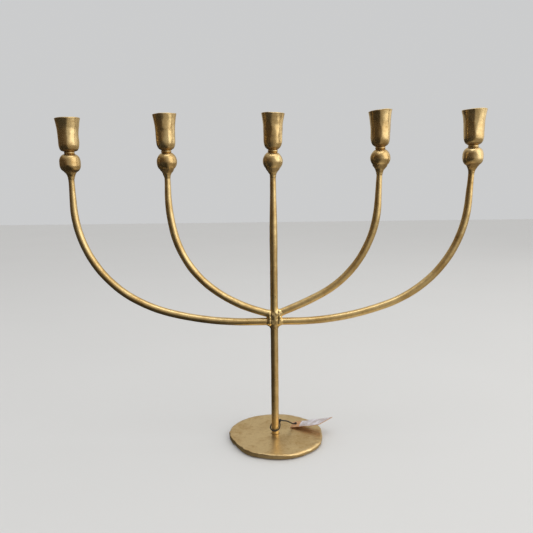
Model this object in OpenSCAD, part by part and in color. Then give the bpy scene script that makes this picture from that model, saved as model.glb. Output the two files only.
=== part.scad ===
// Five-light candelabrum in forged brass: a round hammered foot, one upright stem, four bent arms
// brazed to it at one hub, and a candle cup on a ball at the end of each.
// Millimetres, +Z up, +X to the right along the arms. The origin is on the stem's axis, at the
// underside of the felt.

/* [Base] */
// Mean diameter of the base plate
base_d = 130; // [110:1:150]
// Thickness of the base plate
base_h = 6.5; // [5:0.5:10]
// How far the plate's middle lies off the stem's axis, in X and Y
base_shift = [1.5, 1]; // [-3:0.5:3]
// Thickness of the felt under the base plate
felt_h = 1.5; // [1:0.5:3]
// How far the felt stops short of the plate's edge
felt_inset = 6; // [4:1:15]

/* [Stem] */
// Diameter of the stem
stem_d = 10.2; // [8:0.2:12]
// Height of the centre ball's middle
stem_ball_z = 383; // [350:1:420]
// Length over which the stem draws down to its tip
stem_taper = 80; // [60:5:150]

/* [Arms] */
// Diameter of the arms
arm_d = 9.6; // [8:0.2:11]
// Diameter of every rod where it meets its ball
tip_d = 7.6; // [6:0.2:8]

/* [Outer left arm] */
// Height of its centreline at the stem's axis
outer_left_z = 169; // [165:0.5:175]
// Its rise out of the hub, in degrees
outer_left_rise = -0.5; // [-3:0.5:3]
// Straight run out of the hub
outer_left_run = 33; // [20:1:40]
// Radii of its slow, middle and tight bends
outer_left_radii = [410, 195, 151]; // [120:1:500]
// Degrees turned in each bend
outer_left_turns = [15, 14.5, 60]; // [5:0.5:60]
// Straight run up to the ball's middle
outer_left_tip = 54; // [45:1:70]

/* [Inner left arm] */
// Height of its centreline at the stem's axis
inner_left_z = 177.5; // [176:0.5:182]
// Its rise out of the hub, in degrees
inner_left_rise = 16.5; // [14:0.5:26]
// Straight run out of the hub
inner_left_run = 23; // [20:1:40]
// Radii of its slow, middle and tight bends
inner_left_radii = [185, 135, 224]; // [120:1:500]
// Degrees turned in each bend
inner_left_turns = [21.5, 38.5, 13.5]; // [4:0.5:60]
// Straight run up to the ball's middle
inner_left_tip = 41; // [40:1:70]

/* [Inner right arm] */
// Height of its centreline at the stem's axis
inner_right_z = 177.5; // [176:0.5:182]
// Its rise out of the hub, in degrees
inner_right_rise = 22.5; // [14:0.5:26]
// Straight run out of the hub
inner_right_run = 30; // [20:1:40]
// Radii of its slow, middle and tight bends
inner_right_radii = [380, 140, 145]; // [120:1:500]
// Degrees turned in each bend
inner_right_turns = [6, 22.5, 37]; // [4:0.5:60]
// Straight run up to the ball's middle
inner_right_tip = 58; // [40:1:70]

/* [Outer right arm] */
// Height of its centreline at the stem's axis
outer_right_z = 169; // [165:0.5:175]
// Its rise out of the hub, in degrees
outer_right_rise = 0; // [-3:0.5:3]
// Straight run out of the hub
outer_right_run = 27; // [20:1:40]
// Radii of its slow, middle and tight bends
outer_right_radii = [365, 170, 153]; // [120:1:500]
// Degrees turned in each bend
outer_right_turns = [20, 18, 48.5]; // [5:0.5:60]
// Straight run up to the ball's middle
outer_right_tip = 58; // [45:1:70]

/* [Lights] */
// Diameter of the balls
ball_d = 26.4; // [22:0.2:28]
// Outer diameter of the neck rings
ring_d = 12.6; // [11:0.2:15]
// Height of a cup's foot above its ball's middle
cup_foot = 14.5; // [14:0.1:16]
// Diameter of the bore that holds the candle
candle_bore_d = 22.4; // [21:0.1:23]
// Length of that bore
candle_bore_h = 20; // [12:1:24]
// Outer diameter of the cups around the bore
cup_body_d = 25.8; // [24:0.1:27]
// Outer diameter of the cups' flared rims
cup_rim_d = 30.4; // [27:0.2:32]

/* [Tag] */
// Length of the tag along its far edge
tag_l = 59; // [50:1:70]
// Width of the tag
tag_w = 19.5; // [15:0.5:25]
// Thickness of the tag's card
tag_h = 0.5; // [0.4:0.1:0.8]
// Direction the tag points in, in degrees from +X
tag_turn = -17; // [-20:1:-10]
// Angle the tag rises at from its tied end, in degrees
tag_rise = 12; // [8:1:16]
// Diameter of the cord
cord_d = 1.8; // [1:0.1:1.9]

/* [Hidden] */
$fn = 48;
LIGHTS = ["outer_left", "inner_left", "centre", "inner_right", "outer_right"];

BRASS = [0.72, 0.56, 0.28];
BRAZE = [0.66, 0.50, 0.24];
KRAFT = [0.66, 0.48, 0.30];
overrun = 1;
// Each stretch of a rod ends inside the next, in a band this much proud and this long.
band_proud = 0.05;
band_h = 2;

// Each light's cup leans a little of its own (degrees from upright, towards +X) and has its own height.
cup_leans = [-0.4, -1, 0.8, -1, -0.4];
cup_heights = [42.6, 45.8, 46, 45.8, 45];

// Base: plate, felt and the countersunk screw that holds the stem.
plate_top = felt_h + base_h;
outline_steps = 120;
screw_d = 6;
screw_head_d = 12;
screw_head_h = 3;
screw_recess = 0.3;
screw_depth = 14;
screw_socket_d = 4.6;
screw_socket_h = 2;
screw_hole_d = 6.6;

// Lights: the rod's shoulder meets the ball where the ball is as wide as the rod, and its tenon runs
// on through the ball and the ring to a riveted head on the cup's floor.
ball_r = ball_d / 2;
tip_r = tip_d / 2;
shoulder = sqrt(pow(ball_r, 2) - pow(tip_r, 2));
tenon_d = 5;
cup_floor = 5.4;
rivet_d = 8.4;
rivet_h = 1.4;
bore_start = 11;
tip_straight = 10;
braze_from = 21.5;
braze_bore = tip_r + 0.03;

// Tag: the near corner of its tied end, which rests on the plate, then places along and across it.
tag_corner = [21.3, 16];
tag_gap = 0.4;
tag_z = plate_top + tag_gap;
tag_hole = [6, 10.2];
tag_hole_d = 3;
tag_slant = 16;
label_h = 0.2;
label_from = 13;
label_to = 1.5;
tag_knot_r = 2.1;
loop_knot_d = 4.2;
loop_knot_at = [6.6, 3.9, 24.7];

// Route of the tag's cord: once round the stem from its knot, then down to the tag's hole.
cord_route = [
    [5.7, 3.3, 23.6], [6.6, 0, 20.4], [5.6, -3.7, 17], [3, -5.9, 14.8], [-0.2, -6.7, 13.9],
    [-3.4, -5.7, 14.2], [-5.9, -3.1, 15.2], [-6.7, 0, 16.7], [-5.6, 3.7, 18.6], [-3, 5.9, 20.8],
    [0.4, 6.9, 23.4], [4.2, 6.5, 25], [7.4, 4.7, 25], [10.4, 5.2, 23.9], [13.6, 7.6, 22.6],
    [17, 10.8, 20.5], [20, 14, 17.8], [22.6, 17.2, 15], [25.1, 20.1, 12.7], [27.3, 22.1, 11.5]
];
cord_sides = 8;

// ---- Arms ---------------------------------------------------------------------------------------

// An arm is [root height, rise, first run, bend radii, bend turns, last run], and its side is -1 or 1.
arms = [
    [outer_left_z, outer_left_rise, outer_left_run, outer_left_radii, outer_left_turns, outer_left_tip],
    [inner_left_z, inner_left_rise, inner_left_run, inner_left_radii, inner_left_turns, inner_left_tip],
    undef,
    [inner_right_z, inner_right_rise, inner_right_run, inner_right_radii, inner_right_turns,
        inner_right_tip],
    [outer_right_z, outer_right_rise, outer_right_run, outer_right_radii, outer_right_turns,
        outer_right_tip]
];
function side(i) = i < 2 ? -1 : 1;

// Places along an arm are [outward, up]; a heading is in degrees above the outward direction.
function ahead(p, heading, run) = p + run * [cos(heading), sin(heading)];
function after_bend(p, heading, r, turn) =
    p + r * [sin(heading + turn) - sin(heading), cos(heading) - cos(heading + turn)];
function heading_at(arm, bend) = bend == 0 ? arm[1] : heading_at(arm, bend - 1) + arm[4][bend - 1];
function place_at(arm, bend) =
    bend == 0
        ? ahead([0, arm[0]], arm[1], arm[2])
        : after_bend(place_at(arm, bend - 1), heading_at(arm, bend - 1),
            arm[3][bend - 1], arm[4][bend - 1]);
function ball_place(arm) = ahead(place_at(arm, 3), heading_at(arm, 3), arm[5]);

// Middle of a light's ball, and the lean of the rod below it.
function ball_at(i) =
    i == 2 ? [0, 0, stem_ball_z] : [side(i) * ball_place(arms[i])[0], 0, ball_place(arms[i])[1]];
function rod_lean(i) = i == 2 ? 0 : side(i) * (90 - heading_at(arms[i], 3));

module along(p, heading) {
    translate([p[0], 0, p[1]]) rotate([0, 90 - heading, 0]) children();
}

module bend(p, heading, r, turn, d) {
    centre = p + r * [-sin(heading), cos(heading)];
    translate([centre[0], 0, centre[1]])
        rotate([0, 90 - heading, 0])
            rotate([90, 0, 0])
                rotate_extrude(angle = turn)
                    translate([r, 0]) circle(d = d);
}

// The straight run out of the stem's axis.
module root_run(i) {
    mirror([side(i) < 0 ? 1 : 0, 0, 0])
        along([0, arms[i][0]], arms[i][1]) cylinder(h = arms[i][2], d = arm_d);
}

// The three bends and the run that draws down to the tip, with a band where two stretches meet.
module bent_run(arm) {
    for (b = [0:2])
        bend(place_at(arm, b), heading_at(arm, b), arm[3][b], arm[4][b], arm_d);
    for (b = [0:3])
        along(place_at(arm, b), heading_at(arm, b))
            translate([0, 0, -band_h / 2]) cylinder(h = band_h, d = arm_d + 2 * band_proud);
    along(place_at(arm, 3), heading_at(arm, 3))
        cylinder(h = arm[5] - shoulder - tip_straight, d1 = arm_d, d2 = tip_d + 2 * band_proud);
}

module arm(i) {
    color(BRASS) {
        difference() {
            root_run(i);
            stem_shaft();
        }
        mirror([side(i) < 0 ? 1 : 0, 0, 0]) bent_run(arms[i]);
        rod_tip(i);
    }
}

// ---- Lights -------------------------------------------------------------------------------------

// Below the ball's middle a light follows its rod, and above it the cup's own lean.
module below_ball(i) {
    translate(ball_at(i)) rotate([0, rod_lean(i), 0]) children();
}

module above_ball(i) {
    translate(ball_at(i)) rotate([0, cup_leans[i], 0]) children();
}

module tenon(i) {
    root = shoulder + tip_straight / 2;
    above_ball(i) translate([0, 0, -root])
        cylinder(h = root + cup_foot + cup_floor + rivet_h / 2, d = tenon_d);
}

// The straight end of a rod, its tenon and the riveted head.
module rod_tip(i) {
    run = tip_straight + overrun;
    below_ball(i) translate([0, 0, -shoulder - run]) cylinder(h = run, d = tip_d);
    tenon(i);
    above_ball(i) translate([0, 0, cup_foot + cup_floor])
        cylinder(h = rivet_h, d1 = rivet_d, d2 = tenon_d);
}

module ball(i) {
    color(BRASS) difference() {
        translate(ball_at(i)) sphere(d = ball_d, $fn = 72);
        below_ball(i) translate([0, 0, -ball_d]) cylinder(h = ball_d - shoulder, d = ball_d);
        tenon(i);
    }
}

// Braze run in under the ball, flaring from the rod to the ball.
module ball_braze(i) {
    color(BRAZE) difference() {
        below_ball(i) rotate_extrude()
            polygon([
                [braze_bore, -braze_from], [tip_r + 0.4, -braze_from], [4.5, -18.5], [5.3, -16],
                [7.1, -13.6], [9.1, -11.2], [10.4, -8], [braze_bore, -8]
            ]);
        translate(ball_at(i)) sphere(d = ball_d, $fn = 72);
    }
}

module neck_ring(i) {
    bead_r = 1.7;
    color(BRASS) difference() {
        above_ball(i) rotate_extrude() {
            translate([tenon_d / 2, ball_r - bead_r])
                square([ring_d / 2 - bead_r - tenon_d / 2, cup_foot - ball_r + bead_r]);
            translate([ring_d / 2 - bead_r, cup_foot - bead_r]) circle(r = bead_r);
        }
        translate(ball_at(i)) sphere(d = ball_d, $fn = 72);
    }
}

// Half section of a cup of height h, from its foot: outside going up, then the mouth and the bore.
function cup_section(h) = [
    [tenon_d / 2, 0], [6, 0], [8, 1.4], [10.2, 3.4], [11.6, 5.6], [12.4, 8.4],
    [cup_body_d / 2, 12], [cup_body_d / 2 + 0.1, 0.5 * h], [cup_body_d / 2 + 0.5, 0.68 * h],
    [cup_rim_d / 2 - 0.6, 0.86 * h], [cup_rim_d / 2, h - 0.8], [cup_rim_d / 2 - 0.4, h],
    [cup_rim_d / 2 - 1.1, h], [candle_bore_d / 2, bore_start + candle_bore_h],
    [candle_bore_d / 2, bore_start], [candle_bore_d / 2 - 0.8, bore_start - 2.6],
    [8.2, cup_floor], [tenon_d / 2, cup_floor]
];

module cup(i) {
    color(BRASS) above_ball(i) translate([0, 0, cup_foot])
        rotate_extrude($fn = 72) polygon(cup_section(cup_heights[i]));
}

// ---- Stem and hub -------------------------------------------------------------------------------

stem_straight = stem_ball_z - shoulder - tip_straight - stem_taper - plate_top;

// The stem's straight length, and where it draws down to the tip.
module stem_shaft() {
    translate([0, 0, plate_top]) cylinder(h = stem_straight, d = stem_d);
}

module stem_draw() {
    translate([0, 0, plate_top + stem_straight]) {
        cylinder(h = stem_taper, d1 = stem_d, d2 = tip_d + 2 * band_proud);
        translate([0, 0, -band_h / 2]) cylinder(h = band_h, d = stem_d + 2 * band_proud);
    }
}

module stem() {
    color(BRASS) difference() {
        union() {
            stem_shaft();
            stem_draw();
            rod_tip(2);
        }
        translate([0, 0, plate_top - overrun]) cylinder(h = screw_depth + overrun, d = screw_d);
    }
}

// Braze built up round the stem where the four arms meet it.
module hub_braze() {
    color(BRAZE) difference() {
        union() {
            translate([0, 0, 173]) sphere(r = 8.6);
            translate([-6, 0, 179]) sphere(r = 6.1);
            translate([6.4, 0, 180.5]) sphere(r = 6.2);
            translate([-6.4, 0, 170]) sphere(r = 6.3);
            translate([6.6, 0, 169.5]) sphere(r = 6.4);
            translate([0, 0, 160.5]) cylinder(h = 9, r1 = 5.4, r2 = 10.5);
        }
        stem_shaft();
        for (i = [0, 1, 3, 4]) root_run(i);
    }
}

// ---- Base ---------------------------------------------------------------------------------------

// Radius of the hand-cut outline at an angle.
function base_r(a) =
    base_d / 2 + 0.8 * cos(2 * a + 86) + 0.9 * cos(3 * a - 93) + 0.6 * cos(5 * a - 118)
    + 0.6 * cos(7 * a - 171);

module base_outline(inset = 0) {
    translate(base_shift)
        polygon([
            for (k = [0:outline_steps - 1])
                let (a = 360 * k / outline_steps) (base_r(a) - inset) * [cos(a), sin(a)]
        ]);
}

module base_plate() {
    color(BRASS) difference() {
        translate([0, 0, felt_h]) linear_extrude(base_h) base_outline();
        translate([0, 0, felt_h - overrun]) cylinder(h = base_h + 2 * overrun, d = screw_hole_d);
        translate([0, 0, felt_h]) cylinder(h = screw_recess, d = screw_head_d);
        translate([0, 0, felt_h + screw_recess])
            cylinder(h = screw_head_h, d1 = screw_head_d, d2 = screw_d);
    }
}

module felt_pad() {
    color("dimgray") linear_extrude(felt_h) base_outline(felt_inset);
}

module base_screw() {
    head_z = felt_h + screw_recess;
    color("silver") difference() {
        union() {
            translate([0, 0, head_z]) cylinder(h = screw_head_h, d1 = screw_head_d, d2 = screw_d);
            translate([0, 0, head_z]) cylinder(h = plate_top + screw_depth - overrun - head_z, d = screw_d);
        }
        translate([0, 0, head_z - overrun])
            cylinder(h = screw_socket_h + overrun, d = screw_socket_d, $fn = 6);
    }
}

// ---- Tag and its cord ---------------------------------------------------------------------------

// Turns about the tied end's edge, so that the tag rises from the plate along its length.
module at_tag(z) {
    translate([tag_corner[0], tag_corner[1], tag_z])
        rotate([0, 0, tag_turn]) rotate([0, -tag_rise, 0])
            translate([0, 0, z]) children();
}

// The tag's outline from a distance along it, less a margin at its slanted far end.
module tag_outline(from = 0, margin = 0) {
    polygon([
        [from, 0], [tag_l - tag_slant - margin, 0], [tag_l - margin, tag_w], [from, tag_w]
    ]);
}

module tag() {
    color(KRAFT) at_tag(0) linear_extrude(tag_h) difference() {
        tag_outline();
        translate(tag_hole) circle(d = tag_hole_d);
    }
}

module tag_label() {
    color("whitesmoke") at_tag(tag_h) linear_extrude(label_h) tag_outline(label_from, label_to);
}

module tag_knot() {
    color("black") at_tag(tag_h) translate(tag_hole) intersection() {
        translate([0, 0, 0.5]) sphere(r = tag_knot_r);
        cylinder(h = 2 * tag_knot_r, r = 2 * tag_knot_r);
    }
}

module loop_knot() {
    color("black") translate(loop_knot_at) sphere(d = loop_knot_d);
}

// A tube swept along points: one ring of corners at each, square to the way through it.
function unit(v) = v / norm(v);
function way(pts, k) = unit(pts[min(k + 1, len(pts) - 1)] - pts[max(k - 1, 0)]);
function ring(p, t, d, sides) =
    let (u = unit(cross(t, [0.1, 0.2, 1])), w = cross(t, u))
    [for (s = [0:sides - 1]) p + d / 2 * (cos(360 * s / sides) * u + sin(360 * s / sides) * w)];

module swept_tube(pts, d, sides) {
    rings = len(pts);
    corners = [for (k = [0:rings - 1]) each ring(pts[k], way(pts, k), d, sides)];
    walls = [
        for (k = [0:rings - 2], s = [0:sides - 1])
            let (a = k * sides + s, b = k * sides + (s + 1) % sides)
            each [[a, b, b + sides], [a, b + sides, a + sides]]
    ];
    start = [for (s = [sides - 1:-1:0]) s];
    end = [for (s = [0:sides - 1]) (rings - 1) * sides + s];
    polyhedron(corners, concat(walls, [start, end]));
}

module tag_cord() {
    color("black") swept_tube(cord_route, cord_d, cord_sides);
}

// ---- Nodes --------------------------------------------------------------------------------------

felt_pad();
base_plate();
base_screw();
stem();
hub_braze();
for (i = [0, 1, 3, 4])
    arm(i);
for (i = [0:4]) {
    ball_braze(i);
    ball(i);
    neck_ring(i);
    cup(i);
}
tag_cord();
loop_knot();
tag();
tag_label();
tag_knot();
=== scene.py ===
import itertools
import math

import bmesh
import bpy
import numpy as np
from mathutils import Matrix


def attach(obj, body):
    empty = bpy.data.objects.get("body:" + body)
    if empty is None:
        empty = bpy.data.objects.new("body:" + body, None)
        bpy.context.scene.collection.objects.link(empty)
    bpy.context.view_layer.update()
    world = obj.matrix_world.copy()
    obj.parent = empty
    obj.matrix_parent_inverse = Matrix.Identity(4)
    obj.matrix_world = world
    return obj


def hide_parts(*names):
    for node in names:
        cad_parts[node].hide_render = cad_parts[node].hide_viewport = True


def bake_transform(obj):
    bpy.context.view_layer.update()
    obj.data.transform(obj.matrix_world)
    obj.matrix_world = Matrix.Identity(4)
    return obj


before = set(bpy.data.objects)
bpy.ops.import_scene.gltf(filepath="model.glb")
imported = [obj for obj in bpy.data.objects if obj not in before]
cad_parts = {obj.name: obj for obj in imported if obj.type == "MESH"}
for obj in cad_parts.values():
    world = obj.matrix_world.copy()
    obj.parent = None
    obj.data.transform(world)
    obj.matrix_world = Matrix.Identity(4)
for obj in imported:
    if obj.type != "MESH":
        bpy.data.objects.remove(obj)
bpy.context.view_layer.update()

MM = 0.001
LIGHTS = ["outer_left", "inner_left", "centre", "inner_right", "outer_right"]

# ---- Camera ---------------------------------------------------------------------------------------

CAMERA_AT = (-0.0097, -0.750, 0.3606)
CAMERA_DOWN = 8.81
CAMERA_ROLL = -0.67
CAMERA_LENS = 38.3


def make_camera():
    data = bpy.data.cameras.new("camera")
    data.sensor_width = 36
    data.lens = CAMERA_LENS
    camera = bpy.data.objects.new("camera", data)
    bpy.context.scene.collection.objects.link(camera)
    camera.matrix_world = (
        Matrix.Translation(CAMERA_AT)
        @ Matrix.Rotation(math.radians(90 - CAMERA_DOWN), 4, "X")
        @ Matrix.Rotation(math.radians(CAMERA_ROLL), 4, "Z")
    )
    bpy.context.scene.camera = camera


# ---- Repeatable noise -----------------------------------------------------------------------------


def hashed(cells, salt):
    """Three repeatable values from 0 to 1 for each whole-number cell."""
    h = (cells @ np.array([73856093, 19349663, 83492791]) + salt * 91733).astype(np.uint64)
    out = []
    for _ in range(3):
        h = ((h ^ (h >> np.uint64(15))) * np.uint64(2246822519)) & np.uint64(0xFFFFFFFF)
        h = ((h ^ (h >> np.uint64(13))) * np.uint64(3266489917)) & np.uint64(0xFFFFFFFF)
        out.append(h.astype(float) / 0xFFFFFFFF)
    return np.stack(out, -1)


def smooth_noise(points, size, salt):
    """Smooth noise from -1 to 1 at points (n, 3), its lumps about size across."""
    q = points / size + 100
    cell = np.floor(q).astype(np.int64)
    f = q - cell
    f = f * f * (3 - 2 * f)
    total = np.zeros(len(q))
    for corner in itertools.product((0, 1), repeat=3):
        weight = np.prod(np.where(corner, f, 1 - f), axis=1)
        total += weight * (2 * hashed(cell + corner, salt)[:, 0] - 1)
    return total


def blows(points, size, salt):
    """From 0 to 1, deepest at the middle of each of many hammer marks about size apart."""
    q = points / size + 100
    cell = np.floor(q).astype(np.int64)
    nearest = np.full(len(q), 9.0)
    for corner in itertools.product((-1, 0, 1), repeat=3):
        middle = cell + corner + hashed(cell + corner, salt)
        nearest = np.minimum(nearest, ((q - middle) ** 2).sum(1))
    return 1 - np.minimum(nearest, 1)


def ramp(x, low, high):
    """0 up to low, 1 from high, smooth between."""
    t = np.clip((x - low) / (high - low), 0, 1)
    return t * t * (3 - 2 * t)


# ---- Meshes ---------------------------------------------------------------------------------------


def make_piece(name, points, faces, material, body="stand", patina_and_shade=None):
    """A smooth-shaded piece from points in millimetres; a darkening from 0 to 1 at each point, part
    oxide and part painted shade, darkens it.
    """
    mesh = bpy.data.meshes.new(name)
    mesh.from_pydata((np.asarray(points) * MM).tolist(), [], faces)
    if patina_and_shade is not None:
        layer = mesh.attributes.new("patina_and_shade", "FLOAT", "POINT")
        layer.data.foreach_set("value", np.asarray(patina_and_shade, np.float32))
    work = bmesh.new()
    work.from_mesh(mesh)
    bmesh.ops.recalc_face_normals(work, faces=work.faces)
    work.to_mesh(mesh)
    work.free()
    mesh.shade_smooth()
    mesh.materials.append(material)
    piece = bpy.data.objects.new(name, mesh)
    bpy.context.scene.collection.objects.link(piece)
    if body:
        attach(piece, body)
    return piece


def tube_faces(rows, sides):
    """Faces of a closed tube of rows rings, each end closed by a fan to one more point."""
    faces = []
    for i, j in itertools.product(range(rows - 1), range(sides)):
        k = (j + 1) % sides
        faces.append(tuple(row * sides + at for row, at in ((i, j), (i, k), (i + 1, k), (i + 1, j))))
    first, last = rows * sides, rows * sides + 1
    for j in range(sides):
        k = (j + 1) % sides
        faces.append((k, j, first))
        faces.append(((rows - 1) * sides + j, (rows - 1) * sides + k, last))
    return faces


def closed_tube(rings):
    """Points and faces of a closed tube through rings (rows, sides, 3)."""
    rows, sides = rings.shape[:2]
    ends = np.stack([rings[0].mean(0), rings[-1].mean(0)])
    return np.concatenate([rings.reshape(-1, 3), ends]), tube_faces(rows, sides)


def headings(line):
    """Unit direction of a line at each of its points."""
    way = np.gradient(line, axis=0)
    return way / np.linalg.norm(way, axis=1)[:, None]


def lengths_along(line):
    """Length of a line from its start to each of its points."""
    return np.concatenate([[0], np.cumsum(np.linalg.norm(np.diff(line, axis=0), axis=1))])


def resample(points, step):
    """The polyline through points, with points step apart, its corners rounded a little."""
    points = np.asarray(points, float)
    along = lengths_along(points)
    count = max(3, int(round(along[-1] / step)) + 1)
    at = np.linspace(0, along[-1], count)
    out = np.stack([np.interp(at, along, points[:, k]) for k in range(points.shape[1])], -1)
    for _ in range(2):
        out[1:-1] = (out[:-2] + 2 * out[1:-1] + out[2:]) / 4
    return out


def lathe(profile, sides):
    """Radii, angles and heights of the rings of a profile (rows, [radius, height])."""
    angle = np.linspace(0, 2 * math.pi, sides, endpoint=False)
    r, a = np.meshgrid(profile[:, 0], angle, indexing="ij")
    z = np.repeat(profile[:, 1:], sides, axis=1)
    return r, a, z


def rings_of(r, a, z):
    """Points of rings from their radii, angles and heights."""
    return np.stack([r * np.cos(a), r * np.sin(a), z], -1)


def push_out(points, work):
    """Moves points (n, 3) away from the vertical axis by work."""
    points[:, :2] *= (1 + work / np.maximum(np.hypot(points[:, 0], points[:, 1]), 2))[:, None]


def lean(points, degrees, at):
    """Points turned from upright towards +X, then moved to a place."""
    c, s = math.cos(math.radians(degrees)), math.sin(math.radians(degrees))
    x, y, z = points[..., 0], points[..., 1], points[..., 2]
    return np.stack([x * c + z * s, y, z * c - x * s], -1) + np.asarray(at)


# ---- Sizes that repeat the CAD's ------------------------------------------------------------------

# The hammered rods come out a little thicker than the CAD's, as in the photo.
STEM_R, ARM_R, TIP_R, BALL_R = 5.15, 5.0, 3.85, 13.2
PLATE_TOP = 8.0
SHOULDER = math.sqrt(BALL_R**2 - TIP_R**2)
STEM_TAPER = 80
TIP_STRAIGHT = 10
CUP_FOOT = 14.5
CUP_FLOOR = 5.4
BORE_R = 11.2
STEM_BALL = np.array([0, 0, 383.0])
HUB_Z = 172
CUP_LEANS = [-0.4, -1, 0.8, -1, -0.4]
CUP_HEIGHTS = [42.6, 45.8, 46, 45.8, 45]
# Root height, rise, run, bend radii, bend turns and last run of each arm, as in the CAD.
ARMS = {
    "outer_left": (169, -0.5, 33, (410, 195, 151), (15, 14.5, 60), 54),
    "inner_left": (177.5, 16.5, 23, (185, 135, 224), (21.5, 38.5, 13.5), 41),
    "inner_right": (177.5, 22.5, 30, (380, 140, 145), (6, 22.5, 37), 58),
    "outer_right": (169, 0, 27, (365, 170, 153), (20, 18, 48.5), 58),
}


def arm_line(name):
    """Centreline of an arm from the stem's axis to its ball's middle, and its lean there."""
    z, rise, run, radii, turns, tip = ARMS[name]
    place, heading = np.array([0.0, z]), math.radians(rise)
    line = [place]

    def straight(length):
        nonlocal place
        steps = max(2, int(length))
        way = np.array([math.cos(heading), math.sin(heading)])
        line.extend(place + way * length * k / steps for k in range(1, steps + 1))
        place = place + way * length

    straight(run)
    for radius, turn in zip(radii, turns):
        turn = math.radians(turn)
        steps = max(4, int(radius * turn))
        for k in range(1, steps + 1):
            h = heading + turn * k / steps
            swing = [math.sin(h) - math.sin(heading), math.cos(heading) - math.cos(h)]
            line.append(place + radius * np.array(swing))
        place, heading = line[-1], heading + turn
    straight(tip)
    side = -1 if "left" in name else 1
    line = np.array([[side * p[0], 0, p[1]] for p in line])
    return line, side * (90 - math.degrees(heading))


def ball_middle(name):
    """Middle of a light's ball, and how far the rod under it leans towards +X."""
    if name == "centre":
        return STEM_BALL, 0
    line, rod_lean = arm_line(name)
    return line[-1], rod_lean


# ---- Materials ------------------------------------------------------------------------------------


class Graph:
    """The nodes of a material or a world, made one after another."""

    def __init__(self, tree):
        self.tree = tree

    def add(self, kind, inputs=(), **settings):
        node = self.tree.nodes.new(kind)
        for key, value in settings.items():
            setattr(node, key, value)
        for key, value in dict(inputs).items():
            if isinstance(value, bpy.types.NodeSocket):
                self.tree.links.new(value, node.inputs[key])
            else:
                node.inputs[key].default_value = value
        return node

    def spread(self, value, low, high, to_low=0.0, to_high=1.0):
        inputs = {"Value": value, "From Min": low, "From Max": high}
        inputs.update({"To Min": to_low, "To Max": to_high})
        return self.add("ShaderNodeMapRange", inputs, interpolation_type="SMOOTHSTEP").outputs[0]

    def math(self, operation, a, b):
        node = self.add("ShaderNodeMath", {0: a, 1: b}, operation=operation)
        node.use_clamp = operation == "ADD"
        return node.outputs[0]


class Surface(Graph):
    """The nodes of a material."""

    def __init__(self, name):
        self.material = bpy.data.materials.new(name)
        self.material.use_nodes = True
        super().__init__(self.material.node_tree)
        self.shader = self.tree.nodes["Principled BSDF"]
        self.place = self.add("ShaderNodeTexCoord").outputs["Object"]

    def noise(self, scale, detail=3.0, stretch=(1, 1, 1), roughness=0.55):
        """Noise with scale features a metre."""
        spread = self.add("ShaderNodeMapping", {"Vector": self.place, "Scale": stretch})
        inputs = {"Vector": spread.outputs[0], "Scale": scale, "Detail": detail}
        inputs["Roughness"] = roughness
        return self.add("ShaderNodeTexNoise", inputs).outputs["Fac"]

    def mix(self, share, a, b):
        """Colour a, going over to b with share."""
        return self.add("ShaderNodeMix", {0: share, 6: a, 7: b}, data_type="RGBA").outputs[2]

    def attribute(self, name):
        return self.add("ShaderNodeAttribute", attribute_name=name).outputs["Fac"]

    def bump(self, height, strength, distance, under=None):
        inputs = {"Height": height, "Strength": strength, "Distance": distance}
        if under is not None:
            inputs["Normal"] = under
        return self.add("ShaderNodeBump", inputs).outputs[0]

    def set(self, **sockets):
        for key, value in sockets.items():
            socket = self.shader.inputs[key.replace("_", " ")]
            if isinstance(value, bpy.types.NodeSocket):
                self.tree.links.new(value, socket)
            else:
                socket.default_value = value
        return self.material


def brass(name, burnished, aged, patina_and_shade_tone, rough, patina_share, spot_scale=260, relief=0.12):
    """Antique brass: burnished, browner tarnish in clouds, and one dark tone for oxide spots, for
    dark recesses and joints, and for painted shade under and inside things, as each piece's attribute
    gives.
    """
    g = Surface(name)
    clouds = g.noise(38, 4)
    mottle = g.noise(150, 5, roughness=0.65)
    fine = g.noise(430, 4, roughness=0.7)
    spots = g.noise(spot_scale, 6, roughness=0.7)
    # Each piece's attribute: painted shade under bowls, balls and the base and inside the cups, and
    # darker joints.
    patina_and_shade = g.attribute("patina_and_shade")
    tarnish = g.math("MULTIPLY", g.spread(clouds, 0.38, 0.68), 0.5)
    tarnish = g.math("ADD", tarnish, g.math("MULTIPLY", g.spread(mottle, 0.48, 0.72), 0.3))
    tarnish = g.math("ADD", tarnish, g.math("MULTIPLY", g.spread(fine, 0.5, 0.72), 0.35))
    colour = g.mix(tarnish, burnished, aged)
    patina_and_shade_share = g.math("MULTIPLY", g.spread(spots, 0.60, 0.78), patina_share)
    broken = g.math("ADD", g.math("MULTIPLY", patina_and_shade, 1.25), g.math("MULTIPLY", mottle, 0.7))
    patina_and_shade_share = g.math("ADD", patina_and_shade_share, g.spread(broken, 0.62, 1.35))
    # Painted shade and oxide spots take the colour over to the dark tone.
    colour = g.mix(patina_and_shade_share, colour, patina_and_shade_tone)
    grain = g.noise(900, 3, roughness=0.6)
    roughness = g.spread(mottle, 0.3, 0.75, rough, rough + 0.12)
    roughness = g.math("ADD", roughness, g.math("MULTIPLY", patina_and_shade_share, 0.25))
    normal = g.bump(mottle, relief, 0.0006)
    normal = g.bump(fine, 0.03, 0.00018, normal)
    normal = g.bump(grain, 0.02, 0.0001, normal)
    metal = g.spread(patina_and_shade_share, 0, 1, 1, 0.9)
    return g.set(Base_Color=colour, Roughness=roughness, Metallic=metal, Normal=normal)


def rod_brass():
    burnished = (0.88, 0.68, 0.35, 1)
    aged = (0.52, 0.32, 0.10, 1)
    patina_and_shade_tone = (0.12, 0.05, 0.012, 1)
    return brass("rod_brass", burnished, aged, patina_and_shade_tone, 0.27, 0.42, relief=0.10)


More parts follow.
